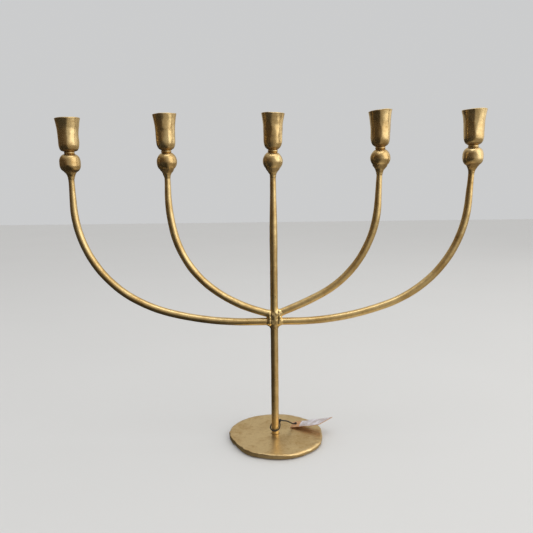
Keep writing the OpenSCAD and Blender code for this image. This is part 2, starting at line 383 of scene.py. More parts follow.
def cup_brass():
    burnished = (0.86, 0.67, 0.36, 1)
    aged = (0.50, 0.31, 0.11, 1)
    patina_and_shade_tone = (0.13, 0.055, 0.015, 1)
    return brass("cup_brass", burnished, aged, patina_and_shade_tone, 0.24, 0.2, 130, 0.05)


def base_brass():
    burnished = (0.84, 0.66, 0.37, 1)
    aged = (0.56, 0.37, 0.15, 1)
    patina_and_shade_tone = (0.20, 0.10, 0.035, 1)
    return brass("base_brass", burnished, aged, patina_and_shade_tone, 0.29, 0.42, 420, 0.2)


def braze_brass():
    burnished = (0.92, 0.72, 0.37, 1)
    aged = (0.56, 0.34, 0.11, 1)
    patina_and_shade_tone = (0.12, 0.05, 0.012, 1)
    return brass("braze_brass", burnished, aged, patina_and_shade_tone, 0.26, 0.5, 520)


def steel():
    g = Surface("steel")
    turned = g.noise(700, 3)
    rough = g.spread(turned, 0.3, 0.7, 0.28, 0.42)
    colour = g.mix(g.noise(120), (0.50, 0.51, 0.53, 1), (0.62, 0.63, 0.65, 1))
    normal = g.bump(turned, 0.1, 0.0001)
    return g.set(Base_Color=colour, Metallic=1.0, Roughness=rough, Normal=normal)


def felt():
    g = Surface("felt")
    fibres = g.noise(2200, 6, roughness=0.75)
    colour = g.mix(g.spread(fibres, 0.35, 0.7), (0.012, 0.011, 0.010, 1), (0.055, 0.050, 0.045, 1))
    g.set(Sheen_Weight=0.4, Sheen_Roughness=0.6)
    return g.set(Base_Color=colour, Roughness=0.95, Normal=g.bump(fibres, 0.8, 0.0003))


def kraft():
    g = Surface("kraft_card")
    fibres = g.noise(900, 6, (0.35, 1, 1), 0.7)
    flecks = g.noise(2600, 3)
    colour = g.mix(g.spread(fibres, 0.35, 0.7), (0.40, 0.20, 0.085, 1), (0.58, 0.33, 0.16, 1))
    colour = g.mix(g.spread(flecks, 0.66, 0.8), colour, (0.22, 0.11, 0.05, 1))
    return g.set(Base_Color=colour, Roughness=0.8, Normal=g.bump(fibres, 0.4, 0.00012))


def label_paper():
    g = Surface("label_paper")
    cloud = g.noise(110, 3)
    folds = g.noise(260, 4, (0.35, 1.6, 1))
    fibres = g.noise(1800, 5)
    colour = g.mix(g.spread(cloud, 0.4, 0.62), (0.50, 0.45, 0.46, 1), (0.64, 0.61, 0.66, 1))
    # Painted shade of the creases: darker streaks along the folds.
    colour = g.mix(g.spread(folds, 0.48, 0.64), colour, (0.36, 0.28, 0.25, 1))
    colour = g.mix(g.spread(fibres, 0.6, 0.8), colour, (0.50, 0.44, 0.42, 1))
    g.set(Coat_Weight=0.25, Coat_Roughness=0.3)
    return g.set(Base_Color=colour, Roughness=0.5, Normal=g.bump(folds, 0.3, 0.0003))


def black_cord():
    g = Surface("waxed_cord")
    lay = g.noise(3200, 3)
    colour = g.mix(lay, (0.006, 0.006, 0.007, 1), (0.022, 0.021, 0.021, 1))
    return g.set(Base_Color=colour, Roughness=0.45, Normal=g.bump(lay, 0.5, 0.00008))


def floor_paint():
    """Pale where it is looked at. To glossy rays it glows instead, a painted reflection of a dark
    satin tabletop with the window's glare painted on it to the right, strongest close to the base."""
    g = Surface("pale_floor")
    colour = g.mix(g.noise(3, 2), (0.60, 0.595, 0.585, 1), (0.62, 0.615, 0.605, 1))
    g.set(Base_Color=colour, Roughness=0.85)
    axes = g.add("ShaderNodeSeparateXYZ", {0: g.place}).outputs
    distance = g.add("ShaderNodeVectorMath", {0: g.place}, operation="LENGTH").outputs["Value"]
    near = g.spread(distance, 0.15, 0.5, 1.0, 0.5)
    painted_window_sheen = g.math("MULTIPLY", g.spread(axes["X"], -0.12, 0.2, 0.0, 0.6), near)
    level = g.math("ADD", painted_window_sheen, 0.035)
    painted_table_glow = g.add("ShaderNodeEmission", {"Color": (1.0, 0.86, 0.64, 1), "Strength": level})
    ray = g.add("ShaderNodeLightPath").outputs["Is Glossy Ray"]
    both = g.add("ShaderNodeMixShader", {0: ray, 1: g.shader.outputs[0], 2: painted_table_glow.outputs[0]})
    g.tree.links.new(both.outputs[0], g.tree.nodes["Material Output"].inputs[0])
    return g.material


# ---- Cord, knots and tag --------------------------------------------------------------------------

CORD_D = 1.8
CORD_ROUTE = [
    (5.7, 3.3, 23.6), (6.6, 0, 20.4), (5.6, -3.7, 17), (3, -5.9, 14.8), (-0.2, -6.7, 13.9),
    (-3.4, -5.7, 14.2), (-5.9, -3.1, 15.2), (-6.7, 0, 16.7), (-5.6, 3.7, 18.6), (-3, 5.9, 20.8),
    (0.4, 6.9, 23.4), (4.2, 6.5, 25), (7.4, 4.7, 25), (10.4, 5.2, 23.9), (13.6, 7.6, 22.6),
    (17, 10.8, 20.5), (20, 14, 17.8), (22.6, 17.2, 15), (25.1, 20.1, 12.7), (27.3, 22.1, 11.5),
]
LOOP_KNOT = (6.6, 3.9, 24.7)
# The tag's tied near corner, its hole, length, slant of its far end, width, turn and rise.
TAG_CORNER = (21.3, 16, 8.4)
TAG_HOLE = (6, 10.2)
TAG_L, TAG_SLANT, TAG_W = 59, 16, 19.5
TAG_TURN, TAG_RISE = -17, 12
TAG_HOLE_R = 1.5
CARD_H = 0.5
# The label starts and ends this far from the card's ends.
LABEL_FROM, LABEL_TO = 13, 1.5
LABEL_H = 0.14


def smooth_route(points, steps):
    """A curve through the points, with steps stretches between each two."""
    p = np.asarray(points, float)
    p = np.concatenate([[2 * p[0] - p[1]], p, [2 * p[-1] - p[-2]]])
    out = []
    for a, b, c, d in zip(p, p[1:], p[2:], p[3:]):
        for t in np.arange(steps) / steps:
            out.append(
                0.5 * (2 * b + (c - a) * t + (2 * a - 5 * b + 4 * c - d) * t**2
                       + (3 * b - a - 3 * c + d) * t**3)
            )
    return np.array(out + [p[-2]])


def swept(path, radius, sides, strands=0, lay=1.0):
    """Rings about a path; strands twist round it, once in each lay millimetres."""
    tangent = headings(path)
    along = lengths_along(path)
    side = np.cross(tangent[0], (0.1, 0.2, 1.0))
    angle = np.linspace(0, 2 * math.pi, sides, endpoint=False)
    rings = []
    for p, t, s in zip(path, tangent, along):
        side = side - t * (side @ t)
        side /= np.linalg.norm(side)
        over = np.cross(t, side)
        twist = radius * (1 + 0.07 * np.cos(strands * (angle - 2 * math.pi * s / lay)))
        way = np.cos(angle)[:, None] * side + np.sin(angle)[:, None] * over
        rings.append(p + twist[:, None] * way)
    return np.array(rings)


def make_knot(name, at, size, turn, material, body):
    """A small knot: one closed trefoil of cord."""
    t = np.linspace(0, 2 * math.pi, 61)
    x, y = np.sin(t) + 2 * np.sin(2 * t), np.cos(t) - 2 * np.cos(2 * t)
    line = np.stack([x, y, -1.3 * np.sin(3 * t)], -1) * size / 6
    c, s = math.cos(turn), math.sin(turn)
    line = line @ np.array([[1, 0, 0], [0, c, s], [0, -s, c]]) + np.asarray(at)
    return make_piece(name, *closed_tube(swept(line, CORD_D / 2, 10)), material, body)


def make_cord(material):
    """The tag's cord, once round the stem and down to the tag's hole."""
    path = smooth_route(CORD_ROUTE, 7)
    rings = swept(path, CORD_D / 2, 12, 3, 1.6)
    piece = make_piece("hang_cord", *closed_tube(rings), material, None)
    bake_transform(piece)
    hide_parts("tag_cord")
    return piece, path


def tag_place(u, v, w):
    """A point of the tag in the row frame: u along it, v across it, w above its lower face."""
    curl = 1.0 * ramp(u, 34, TAG_L) + 0.035 * (v - 6) * ramp(u, 14, 40)
    crease = 0.42 * np.exp(-(((u - 22 - 0.5 * v) / 4.5) ** 2))
    crease = crease + 0.3 * np.exp(-(((u - 43 + 0.6 * v) / 4) ** 2))
    up = w + curl + crease * ramp(u, 10, 24)
    c, s = math.cos(math.radians(TAG_RISE)), math.sin(math.radians(TAG_RISE))
    u, up = u * c - up * s, u * s + up * c
    c, s = math.cos(math.radians(TAG_TURN)), math.sin(math.radians(TAG_TURN))
    return np.stack([u * c - v * s, u * s + v * c, up], -1) + np.array(TAG_CORNER)


def card_slab(start, margin, inset, bottom, thick):
    """Points and faces of a thin slab that follows the card, less a margin at its far end."""
    t, v = np.meshgrid(np.linspace(0, 1, 70), np.linspace(inset, TAG_W - inset, 16), indexing="ij")
    end = TAG_L - TAG_SLANT * (1 - v / TAG_W) - margin
    u = start + (end - start) * t
    rows, cols = u.shape
    under = tag_place(u, v, bottom).reshape(-1, 3)
    over = tag_place(u, v, bottom + thick).reshape(-1, 3)
    count, faces = rows * cols, []
    for i, j in itertools.product(range(rows - 1), range(cols - 1)):
        a, b = i * cols + j, (i + 1) * cols + j
        faces += [(a, a + 1, b + 1, b), (count + a, count + b, count + b + 1, count + a + 1)]
    rim = list(range(cols)) + [i * cols + cols - 1 for i in range(1, rows)]
    rim += [(rows - 1) * cols + j for j in range(cols - 2, -1, -1)]
    rim += [i * cols for i in range(rows - 2, 0, -1)]
    for a, b in zip(rim, rim[1:] + rim[:1]):
        faces.append((a, b, count + b, count + a))
    return np.concatenate([under, over]), faces


def sharpen(piece, degrees):
    """Edges sharper than this stay crisp."""
    work = bmesh.new()
    work.from_mesh(piece.data)
    for edge in work.edges:
        if len(edge.link_faces) == 2 and edge.calc_face_angle() > math.radians(degrees):
            edge.smooth = False
    work.to_mesh(piece.data)
    work.free()


def punch(piece, at, tilt, radius, depth):
    """Makes a round hole through a thin piece."""
    bpy.ops.mesh.primitive_cylinder_add(
        vertices=24, radius=radius, depth=depth, location=at, rotation=tilt
    )
    drill = bpy.context.object
    cut = piece.modifiers.new("hole", "BOOLEAN")
    cut.operation, cut.object, cut.solver = "DIFFERENCE", drill, "EXACT"
    bpy.context.view_layer.update()
    graph = bpy.context.evaluated_depsgraph_get()
    cleared = bpy.data.meshes.new_from_object(piece.evaluated_get(graph))
    piece.modifiers.clear()
    piece.data = cleared
    bpy.data.objects.remove(drill)


def over_hole(height):
    """The middle of the tag's hole, at a height over the tag's lower face."""
    return tag_place(np.array(float(TAG_HOLE[0])), np.array(TAG_HOLE[1]), height)


def make_tag(card_material, paper_material):
    card = make_piece("hang_tag", *card_slab(0, 0, 0, 0, CARD_H), card_material, "tag")
    tilt = (0, -math.radians(TAG_RISE), math.radians(TAG_TURN))
    punch(card, over_hole(CARD_H / 2) * MM, tilt, TAG_HOLE_R * MM, 4 * MM)
    sharpen(card, 40)
    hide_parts("tag")
    label = make_piece(
        "hang_tag_label", *card_slab(LABEL_FROM, LABEL_TO, 0.2, CARD_H + 0.02, LABEL_H),
        paper_material, "tag",
    )
    sharpen(label, 40)
    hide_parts("tag_label")
    return card, label


def make_tag_and_cord():
    cord_black = black_cord()
    cord, path = make_cord(cord_black)
    loop_knot = make_knot("stem_knot", LOOP_KNOT, 3.2, 0.9, cord_black, "cord_loop")
    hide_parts("loop_knot")
    tag_knot = make_knot("hole_knot", over_hole(CARD_H + 0.9), 2.4, 0.2, cord_black, "tag")
    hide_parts("tag_knot")
    card, label = make_tag(kraft(), label_paper())


# ---- Rods -----------------------------------------------------------------------------------------

ROD_SIDES = 28
ROD_STEP = 1.3


def hammered_rod(line, radius, salt):
    """Rings of a hand-drawn rod along its line, which lies in the plane of the arms."""
    tangent = headings(line)
    over = np.cross(tangent, (0, 1, 0))
    angle = np.linspace(0, 2 * math.pi, ROD_SIDES, endpoint=False)
    way = np.sin(angle)[None, :, None] * over[:, None]
    way = way + np.cos(angle)[None, :, None] * np.array([0, -1, 0])
    skin = (line[:, None] + radius[:, None, None] * way).reshape(-1, 3)
    swell = 0.14 * smooth_noise(skin, 16, salt) + 0.05 * smooth_noise(skin, 5, salt + 1)
    dents = 0.12 * (blows(skin, 8, salt + 2) - 0.5)
    grown = radius[:, None] + (swell - dents).reshape(len(line), ROD_SIDES)
    return line[:, None] + grown[:, :, None] * way


def rod_piece(name, node, line, radius, patina_and_shade_at, material, salt):
    rings = hammered_rod(line, radius, salt)
    points, faces = closed_tube(rings)
    piece = make_piece(name, points, faces, material, patina_and_shade=patina_and_shade_at(points))
    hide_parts(node)
    return piece


def draw_down(from_ball, full, taper):
    """Radius of a rod at distances below its ball's middle: thin at the tip, full below the taper."""
    start = SHOULDER + TIP_STRAIGHT
    return TIP_R + (full - TIP_R) * ramp(from_ball, start - 6, start + taper)


def make_arm(name, material, salt):
    line, _ = arm_line(name)
    line = resample(line, ROD_STEP)
    left = lengths_along(line[::-1])[::-1]
    keep = left > SHOULDER - 3
    line, left = line[keep], left[keep]
    radius = draw_down(left, ARM_R, 60)
    middle = ball_middle(name)[0]

    def patina_and_shade(points):
        at_hub = 1 - ramp(np.abs(points[:, 0]), 9, 26)
        at_ball = 1 - ramp(np.linalg.norm(points - middle, axis=1), 15, 32)
        one_side = 0.10 * ramp(-np.gradient(points[:, 2]), 0, 1)
        # Darker close to the hub, painted shade on the rod under its ball, and a little darker on one
        # side of the rod.
        return 0.15 * at_hub + 0.6 * at_ball + one_side

    return rod_piece("forged_arm_" + name, "arm_" + name, line, radius, patina_and_shade, material, salt)


def make_stem(material, salt):
    ball_z = STEM_BALL[2]
    z = np.arange(PLATE_TOP - 0.3, ball_z - SHOULDER + 3, ROD_STEP)
    line = np.stack([0 * z, 0 * z, z], -1)
    radius = draw_down(ball_z - z, STEM_R, STEM_TAPER)

    def patina_and_shade(points):
        foot = 1 - ramp(points[:, 2], PLATE_TOP, PLATE_TOP + 4)
        hub = 1 - ramp(np.abs(points[:, 2] - HUB_Z), 10, 26)
        ball = 1 - ramp(ball_z - points[:, 2], 15, 32)
        # Darker at its foot on the plate and a little at the hub, and painted shade on the stem under
        # the ball.
        return 0.4 * foot + 0.08 * hub + 0.6 * ball

    return rod_piece("forged_stem", "stem", line, radius, patina_and_shade, material, salt)


# ---- Lights ---------------------------------------------------------------------------------------

# For each light: direction of a cup facet's middle (degrees right of the front), how strongly the cup
# is faceted, its rim's slope towards +X in mm, and its ball's radius, half height and squareness.
FACETS = [-8, 8, 6, 12, 8]
FACETING = [0.3, 0.38, 0.4, 0.34, 0.34]
RIM_SLOPES = [0.2, 0.3, -0.2, 1.0, 0.4]
BALLS = [
    (13.4, 12.5, 2.7), (13.2, 12.9, 2.1), (13.2, 12.9, 2.0), (12.9, 12.9, 2.0), (13.3, 12.7, 2.5),
]
# How wide each cup is at its body and at its rim, and how square its bottom is.
BODIES = [1.045, 1.02, 1.0, 1.01, 1.04]
RIMS = [1.09, 1.055, 1.04, 1.035, 1.075]
BOTTOMS = [1.0, 0.2, 0.0, 0.1, 0.2]
# The lights' noise is looked up this far apart, so that no two are dented alike.
LIGHT_APART = 300.0


def turned(profile, sides, i, row):
    """A profile turned on a lathe: its points (n, 3), the shape of its rings, and where light i looks
    up the noise for this row of pieces."""
    points = rings_of(*lathe(np.asarray(profile), sides))
    shape = points.shape
    points = points.reshape(-1, 3)
    return points, shape, points + np.array([LIGHT_APART * i, row, 0])


def light_piece(name, node, rings, material, patina_and_shade, ends):
    """A brass piece of a light through rings, darkened at its points and at its two ends by the given
    mix of oxide and painted shade.
    """
    body, faces = closed_tube(rings)
    piece = make_piece(name, body, faces, material, patina_and_shade=np.append(patina_and_shade, ends))
    if node:
        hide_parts(node)


def cup_outside(height, square):
    return [
        (5.6, -0.3), (6.1, 0.1), (7.7 + 1.6 * square, 1.0), (9.8 + 1.3 * square, 2.8),
        (11.2 + 0.7 * square, 5.2), (12.0 + 0.3 * square, 8.0), (12.4, 11.5), (12.4, 0.34 * height),
        (12.5, 0.5 * height), (12.9, 0.68 * height), (13.7, 0.86 * height), (14.5, height - 1.2),
    ]


def cup_profile(i):
    """A cup's outline from its foot over its lip to its floor, and how far each point is outside."""
    top = CUP_HEIGHTS[i]
    outside = resample(cup_outside(top, BOTTOMS[i]), 0.8)
    lip = [
        (14.72, top - 0.75), (14.7, top - 0.25), (14.4, top), (13.9, top - 0.05), (13.6, top - 0.5),
    ]
    inside = resample([
        (13.4, top - 1), (12.3, top - 6), (BORE_R + 0.1, 31.5), (BORE_R, 29), (BORE_R, 12),
        (BORE_R - 0.8, 8.6), (8.2, CUP_FLOOR + 0.1), (0.4, CUP_FLOOR),
    ], 1.2)
    is_out = [np.ones(len(outside)), np.linspace(1, 0, len(lip)), np.zeros(len(inside))]
    return np.concatenate([outside, lip, inside]), np.concatenate(is_out)


def cup_shape(i, r, a, z, is_out):
    """Radii of a cup, faceted and as wide as in the photo on its outside."""
    height = CUP_HEIGHTS[i]
    facet = math.pi / 4
    front = a + math.pi / 2 - math.radians(FACETS[i])
    wander = 0.10 * np.sin(z / 9 + i) + 0.05 * np.sin(z / 3.7 + 2 * i)
    from_middle = np.mod(front + wander + facet / 2, facet) - facet / 2
    octagon = math.cos(facet / 2) * 1.035 / np.cos(from_middle)
    fade = FACETING[i] * (1 - 0.45 * ramp(z, 0.7 * height, height))
    swell = BODIES[i] + (RIMS[i] - BODIES[i]) * ramp(z, 0.6 * height, height)
    return r * (1 + is_out * fade * (octagon - 1)) * (1 + is_out * (swell - 1))


def make_cup(i, material):
    name, height = LIGHTS[i], CUP_HEIGHTS[i]
    middle, _ = ball_middle(name)
    profile, is_out = cup_profile(i)
    sides = 96
    is_out = np.repeat(is_out[:, None], sides, 1)
    r, a, z = lathe(profile, sides)
    rings = rings_of(cup_shape(i, r, a, z, is_out), a, z)
    points, up, inner = rings.reshape(-1, 3), z.ravel(), 1 - is_out.ravel()
    skin = points + np.array([LIGHT_APART * i, 0, 0])
    work = 0.26 * smooth_noise(skin, 11, 31 + i)
    work -= 0.32 * (blows(skin * [1, 1, 0.6], 7, 41 + i) - 0.45)
    work += 0.04 * smooth_noise(skin * [1, 1, 0.4], 3.4, 51 + i)
    push_out(points, work * (1 - 0.8 * inner) * ramp(up, 0, 4))
    rim = RIM_SLOPES[i] * points[:, 0] / 14 + 0.35 * smooth_noise(skin * [1, 1, 0], 8, 61 + i)
    points[:, 2] += ramp(up, 0.72 * height, height) * rim
    # Painted shade on the outside of the bowl's bottom, and inside the cup, darkening towards its
    # floor.
    patina_and_shade = 0.85 * (1 - ramp(up, 0.8, 6)) * (1 - inner)
    patina_and_shade = patina_and_shade + inner * (0.25 + 0.55 * (1 - ramp(up, 6, 40)))
    rings = lean(points.reshape(rings.shape) + [0, 0, CUP_FOOT], CUP_LEANS[i], middle)
    light_piece("forged_cup_" + name, "cup_" + name, rings, material, patina_and_shade, [0.6, 0.8])


def make_ball(i, material):
    name = LIGHTS[i]
    middle, _ = ball_middle(name)
    radius, half, square = BALLS[i]
    t = np.linspace(-math.pi / 2, math.pi / 2, 46)[1:-1]
    c, s = np.cos(t), np.sin(t)
    grow = (np.abs(c) ** square + np.abs(s) ** square) ** (-1 / square)
    points, shape, skin = turned(np.stack([radius * c * grow, half * s * grow], -1), 72, i, 50)
    work = 0.30 * smooth_noise(skin, 10, 71 + i) - 0.45 * (blows(skin, 10, 81 + i) - 0.4)
    work += 0.05 * smooth_noise(skin, 2.5, 91 + i)
    points *= (1 + work / radius)[:, None]
    up = points[:, 2]
    spots = ramp(smooth_noise(skin, 2.2, 101 + i), 0.25, 0.6) * ramp(up, 3.5, 9)
    # Darker at its top where the neck ring sits, painted shade over its lower part, and oxide spots
    # on its upper half.
    patina_and_shade = 0.8 * ramp(up, 10.4, 12.6) + 0.85 * (1 - ramp(up, -12, -5)) + 0.55 * spots
    rings = lean(points.reshape(shape), CUP_LEANS[i], middle)
    light_piece("forged_ball_" + name, "ball_" + name, rings, material, patina_and_shade, [1, 1])


def make_braze(i, material):
    """Braze run in under a ball: a lumpy cone from the rod to the ball."""
    name = LIGHTS[i]
    middle, rod_lean = ball_middle(name)
    section = [
        (3.6, -22), (4.0, -21), (4.4, -18.6), (5.0, -16.2), (6.4, -13.8), (8.1, -11.5), (9.3, -9.4),
        (9.5, -7.2),
    ]
    points, shape, skin = turned(resample(section, 0.6), 56, i, 90)
    work = 0.75 * smooth_noise(skin, 4.6, 111 + i) + 0.35 * smooth_noise(skin, 2.1, 121 + i)
    work -= 0.5 * (blows(skin, 4, 131 + i) - 0.5)
    push_out(points, work * ramp(points[:, 2], -21, -16) * 0.9)
    up = points[:, 2]
    # A dark braze tone, painted shade growing towards its top under the ball, and lighter where it
    # meets the rod.
    patina_and_shade = 0.35 + 0.55 * ramp(up, -16, -9) - 0.2 * (1 - ramp(up, -21, -17))
    rings = lean(points.reshape(shape), rod_lean, middle)
    light_piece("run_braze_" + name, "ball_braze_" + name, rings, material, patina_and_shade, [0.3, 1])


def make_ring(i, material):
    name = LIGHTS[i]
    middle, _ = ball_middle(name)
    section = [
        (2.6, 11.2), (5.7, 11.3), (6.5, 11.9), (6.8, 12.8), (6.7, 13.6), (6.2, 14.3), (5.4, 14.7),
        (2.6, 14.8),
    ]
    points, shape, skin = turned(resample(section, 0.35), 56, i, 130)
    work = 0.28 * smooth_noise(skin, 4.5, 141 + i) + 0.08 * smooth_noise(skin, 1.8, 151 + i)
    push_out(points, work)
    up = points[:, 2]
    patina_and_shade = 0.6 * (1 - ramp(up, 10.8, 12.0)) + 0.6 * ramp(up, 13.8, 14.7)
    rings = lean(points.reshape(shape), CUP_LEANS[i], middle)
    light_piece("neck_bead_" + name, "neck_ring_" + name, rings, material, patina_and_shade, [1, 1])


def make_rivet(i, material):
    """The riveted head of a rod's tenon, on its cup's floor."""
    name = LIGHTS[i]
    middle, _ = ball_middle(name)
    section = [(4.3, -0.4), (4.25, 0.3), (3.9, 0.8), (3.2, 1.15), (2.0, 1.35), (0.5, 1.42)]
    points, shape, skin = turned(resample(section, 0.3), 40, i, 170)
    work = 0.25 * (blows(skin, 2.6, 161 + i) - 0.5)
    points[:, 2] -= work * ramp(points[:, 2], 0.1, 0.8)
    # Painted shade on the cup's floor, darkest at the head's lower edge.
    patina_and_shade = 0.7 - 0.4 * ramp(points[:, 2], 0.4, 1.3)
    rings = lean(points.reshape(shape) + [0, 0, CUP_FOOT + CUP_FLOOR], CUP_LEANS[i], middle)
    light_piece("rivet_head_" + name, None, rings, material, patina_and_shade, [0.7, 0.3])


# ---- Hub ------------------------------------------------------------------------------------------


def soft_union(a, b, k):
    """Distance to two shapes run together over k."""
    h = np.clip(0.5 + 0.5 * (b - a) / k, 0, 1)
    return b + (a - b) * h - k * h * (1 - h)


def capsule(p, a, b, ra, rb):
    """Distance to a rod from a to b, ra thick at a and rb at b."""
    a, b = np.asarray(a, float), np.asarray(b, float)
    t = np.clip(((p - a) @ (b - a)) / ((b - a) @ (b - a)), 0, 1)
    return np.linalg.norm(p - a - t[:, None] * (b - a), axis=1) - (ra + (rb - ra) * t)


def skin_of(field, low, step):
    """Points and faces where the field changes sign: one point in each crossed cell."""
    inside = field < 0
    n = np.array(field.shape) - 1
    corners = list(itertools.product((0, 1), repeat=3))
    at = [tuple(slice(c[k], c[k] + n[k]) for k in range(3)) for c in corners]
    count = sum(inside[s].astype(int) for s in at)
    crossed = (count > 0) & (count < 8)
    cells = np.argwhere(crossed)
    index = np.full(n, -1)
    index[tuple(cells.T)] = np.arange(len(cells))
    total, weight = np.zeros((len(cells), 3)), np.zeros(len(cells))
    for p, q in itertools.combinations(range(8), 2):
        a, b = np.array(corners[p]), np.array(corners[q])
        if abs(a - b).sum() != 1:
            continue
        fa, fb = field[tuple((cells + a).T)], field[tuple((cells + b).T)]
        cut = (fa < 0) != (fb < 0)
        t = np.where(cut, fa / np.where(cut, fa - fb, 1), 0)
        total += np.where(cut[:, None], a + t[:, None] * (b - a), 0)
        weight += cut
    points = (cells + total / weight[:, None]) * step + low
    faces = []
    for axis in range(3):
        u, v = (axis + 1) % 3, (axis + 2) % 3
        ahead = np.roll(inside, -1, axis)
        edges = np.argwhere(inside != ahead)
        edges = edges[(edges[:, axis] < n[axis]) & (edges[:, u] > 0) & (edges[:, v] > 0)]
        edges = edges[(edges[:, u] < n[u]) & (edges[:, v] < n[v])]
        for e in edges:
            quad = []
            for du, dv in ((0, 0), (1, 0), (1, 1), (0, 1)):
                c = e.copy()
                c[u] -= du
                c[v] -= dv
                quad.append(int(index[tuple(c)]))
            faces.append(tuple(quad if inside[tuple(e)] else quad[::-1]))
    return points, faces


# Lumps of braze at the hub: middle and radius.
HUB_LUMPS = [
    ((-5.6, -0.8, 178.6), 5.0), ((6.2, -1.0, 180.9), 4.6), ((-5.9, -0.9, 170.2), 5.0),
    ((6.4, -1.0, 170.2), 5.2), ((7.0, -3.0, 175.4), 3.2), ((-5.6, -3.4, 174.5), 2.9),
    ((6.0, 2.8, 176), 4.2), ((-5.6, 3.0, 174), 4.0), ((-3.8, -3.6, 166.6), 2.2),
    ((4.4, -3.4, 166.4), 2.1), ((7.8, -4.2, 172.2), 1.7), ((5.4, -5.0, 179.4), 1.8),
]
# Grooves between the stem and the braze on the hub's front: X, depth and width.
HUB_GROOVES = [(-4.4, 0.55, 1.0), (4.7, 0.55, 1.0)]


def hub_collars(p):
    """Distance to the braze run along the four arms' roots."""
    mass = None
    for name in ARMS:
        z, rise = ARMS[name][0], math.radians(ARMS[name][1])
        side = -1 if "left" in name else 1
        way = np.array([side * math.cos(rise), 0, math.sin(rise)])
        root = np.array([0, 0, z])
        collar = capsule(p, root + 4 * way, root + 12.5 * way, 6.3, 4.7)
        mass = collar if mass is None else soft_union(mass, collar, 1.8)
    return mass


def hub_field(p):
    """Distance to the braze at the hub: lumps on each side of the stem, which shows between them."""
    mass = hub_collars(p)
    for at, r in HUB_LUMPS:
        mass = soft_union(mass, np.linalg.norm(p - np.array(at), axis=1) - r, 1.2)
    for x, reach in ((-1, 7.4), (1, 7.2)):
        web = capsule(p, (x * 2.6, 0, 161.8), (x * reach, 0, 167.8), 3.2, 3.4)
        mass = soft_union(mass, web, 2.4)
    ridge = capsule(p, (0, 0, 161), (0.3, -0.8, 176), 5.6, 5.6)
    ridge = soft_union(ridge, capsule(p, (0.4, -0.4, 176), (0.2, 0, 190), 5.7, 4.8), 1.5)
    body = soft_union(mass, ridge, 1.2)
    front = ramp(-p[:, 1], 1, 4) * (1 - ramp(np.abs(p[:, 2] - 173), 8, 14))
    for x, deep, wide in HUB_GROOVES:
        wander = x + 0.35 * np.sin(p[:, 2] / 5.2 + x)
        body = body + deep * front * np.exp(-(((p[:, 0] - wander) / wide) ** 2))
    rough = 0.26 * smooth_noise(p, 4.6, 201) + 0.08 * smooth_noise(p, 2.1, 202)
    rough -= 0.16 * (blows(p, 3.6, 203) - 0.5)
    return body + rough * ramp(body, -3, -0.5)


def make_hub(material):
    low, high, step = np.array([-27.0, -9.5, 153.0]), np.array([27.5, 9.5, 192.0]), 0.5
    shape = np.ceil((high - low) / step).astype(int) + 1
    grid = np.indices(shape).reshape(3, -1).T * step + low
    points, faces = skin_of(hub_field(grid).reshape(shape), low, step)
    # Darker in the front grooves, painted shade at its bottom under the arms' roots, and lighter in
    # patches.
    groove = np.minimum(np.abs(points[:, 0] + 4.3), np.abs(points[:, 0] - 4.6))
    patina_and_shade = 0.04 + 0.4 * np.exp(-((groove / 1.1) ** 2)) * ramp(np.abs(points[:, 1]), 1, 3)
    patina_and_shade = patina_and_shade + 0.45 * (1 - ramp(points[:, 2], 161, 167))
    patina_and_shade = patina_and_shade - 0.35 * ramp(smooth_noise(points, 5, 204), 0, 0.5)
    piece = make_piece("hub_braze_lumps", points, faces, material, patina_and_shade=np.clip(patina_and_shade, 0, 1))
    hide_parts("hub_braze")


# ---- Base -----------------------------------------------------------------------------------------

BASE_SHIFT = (1.5, 1.0)
BASE_BOTTOM = 1.5
# The angle where the bevel is widest. Its rings: share of its width left, and how deep they lie.
BEVEL_ANGLE = -30
BEVEL_RINGS = [(0.72, 0.10), (0.45, 0.34), (0.22, 0.75), (0.07, 1.35)]
FLAT_RINGS = 42


def base_edge(angle):
    """Radius of the plate's hand-cut outline, as in the CAD."""
    waves = [(0.8, 2, 86), (0.9, 3, -93), (0.6, 5, -118), (0.6, 7, -171)]
    return 65 + sum(size * np.cos(n * angle + math.radians(p)) for size, n, p in waves)


def base_rings(angle, edge):
    """Radii and heights of the plate's rings: its top, its bevel, its wall and its underside."""
    sides = len(angle)
    bevel = 0.4 + 1.1 * np.clip(np.cos(angle - math.radians(BEVEL_ANGLE)), 0, 1) ** 1.5
    inner, flat = edge - 2.2 * bevel, np.full(sides, PLATE_TOP)
    rows = [(inner * t, flat) for t in np.linspace(0.02, 1, FLAT_RINGS)]
    for share, drop in BEVEL_RINGS:
        rows.append((edge - 2.2 * bevel * share, PLATE_TOP - drop * bevel))
    top = rows[-1][1]
    for k in (0.2, 0.4, 0.6, 0.8, 0.95):
        rows.append((edge - 0.25 * np.abs(k - 0.3), top + (BASE_BOTTOM + 0.5 - top) * k))
    for inset, z in ((0.5, 0.18), (1.3, 0), (20, 0), (45, 0)):
        rows.append((edge - inset, np.full(sides, BASE_BOTTOM + z)))
    return np.array(rows).transpose(1, 0, 2)


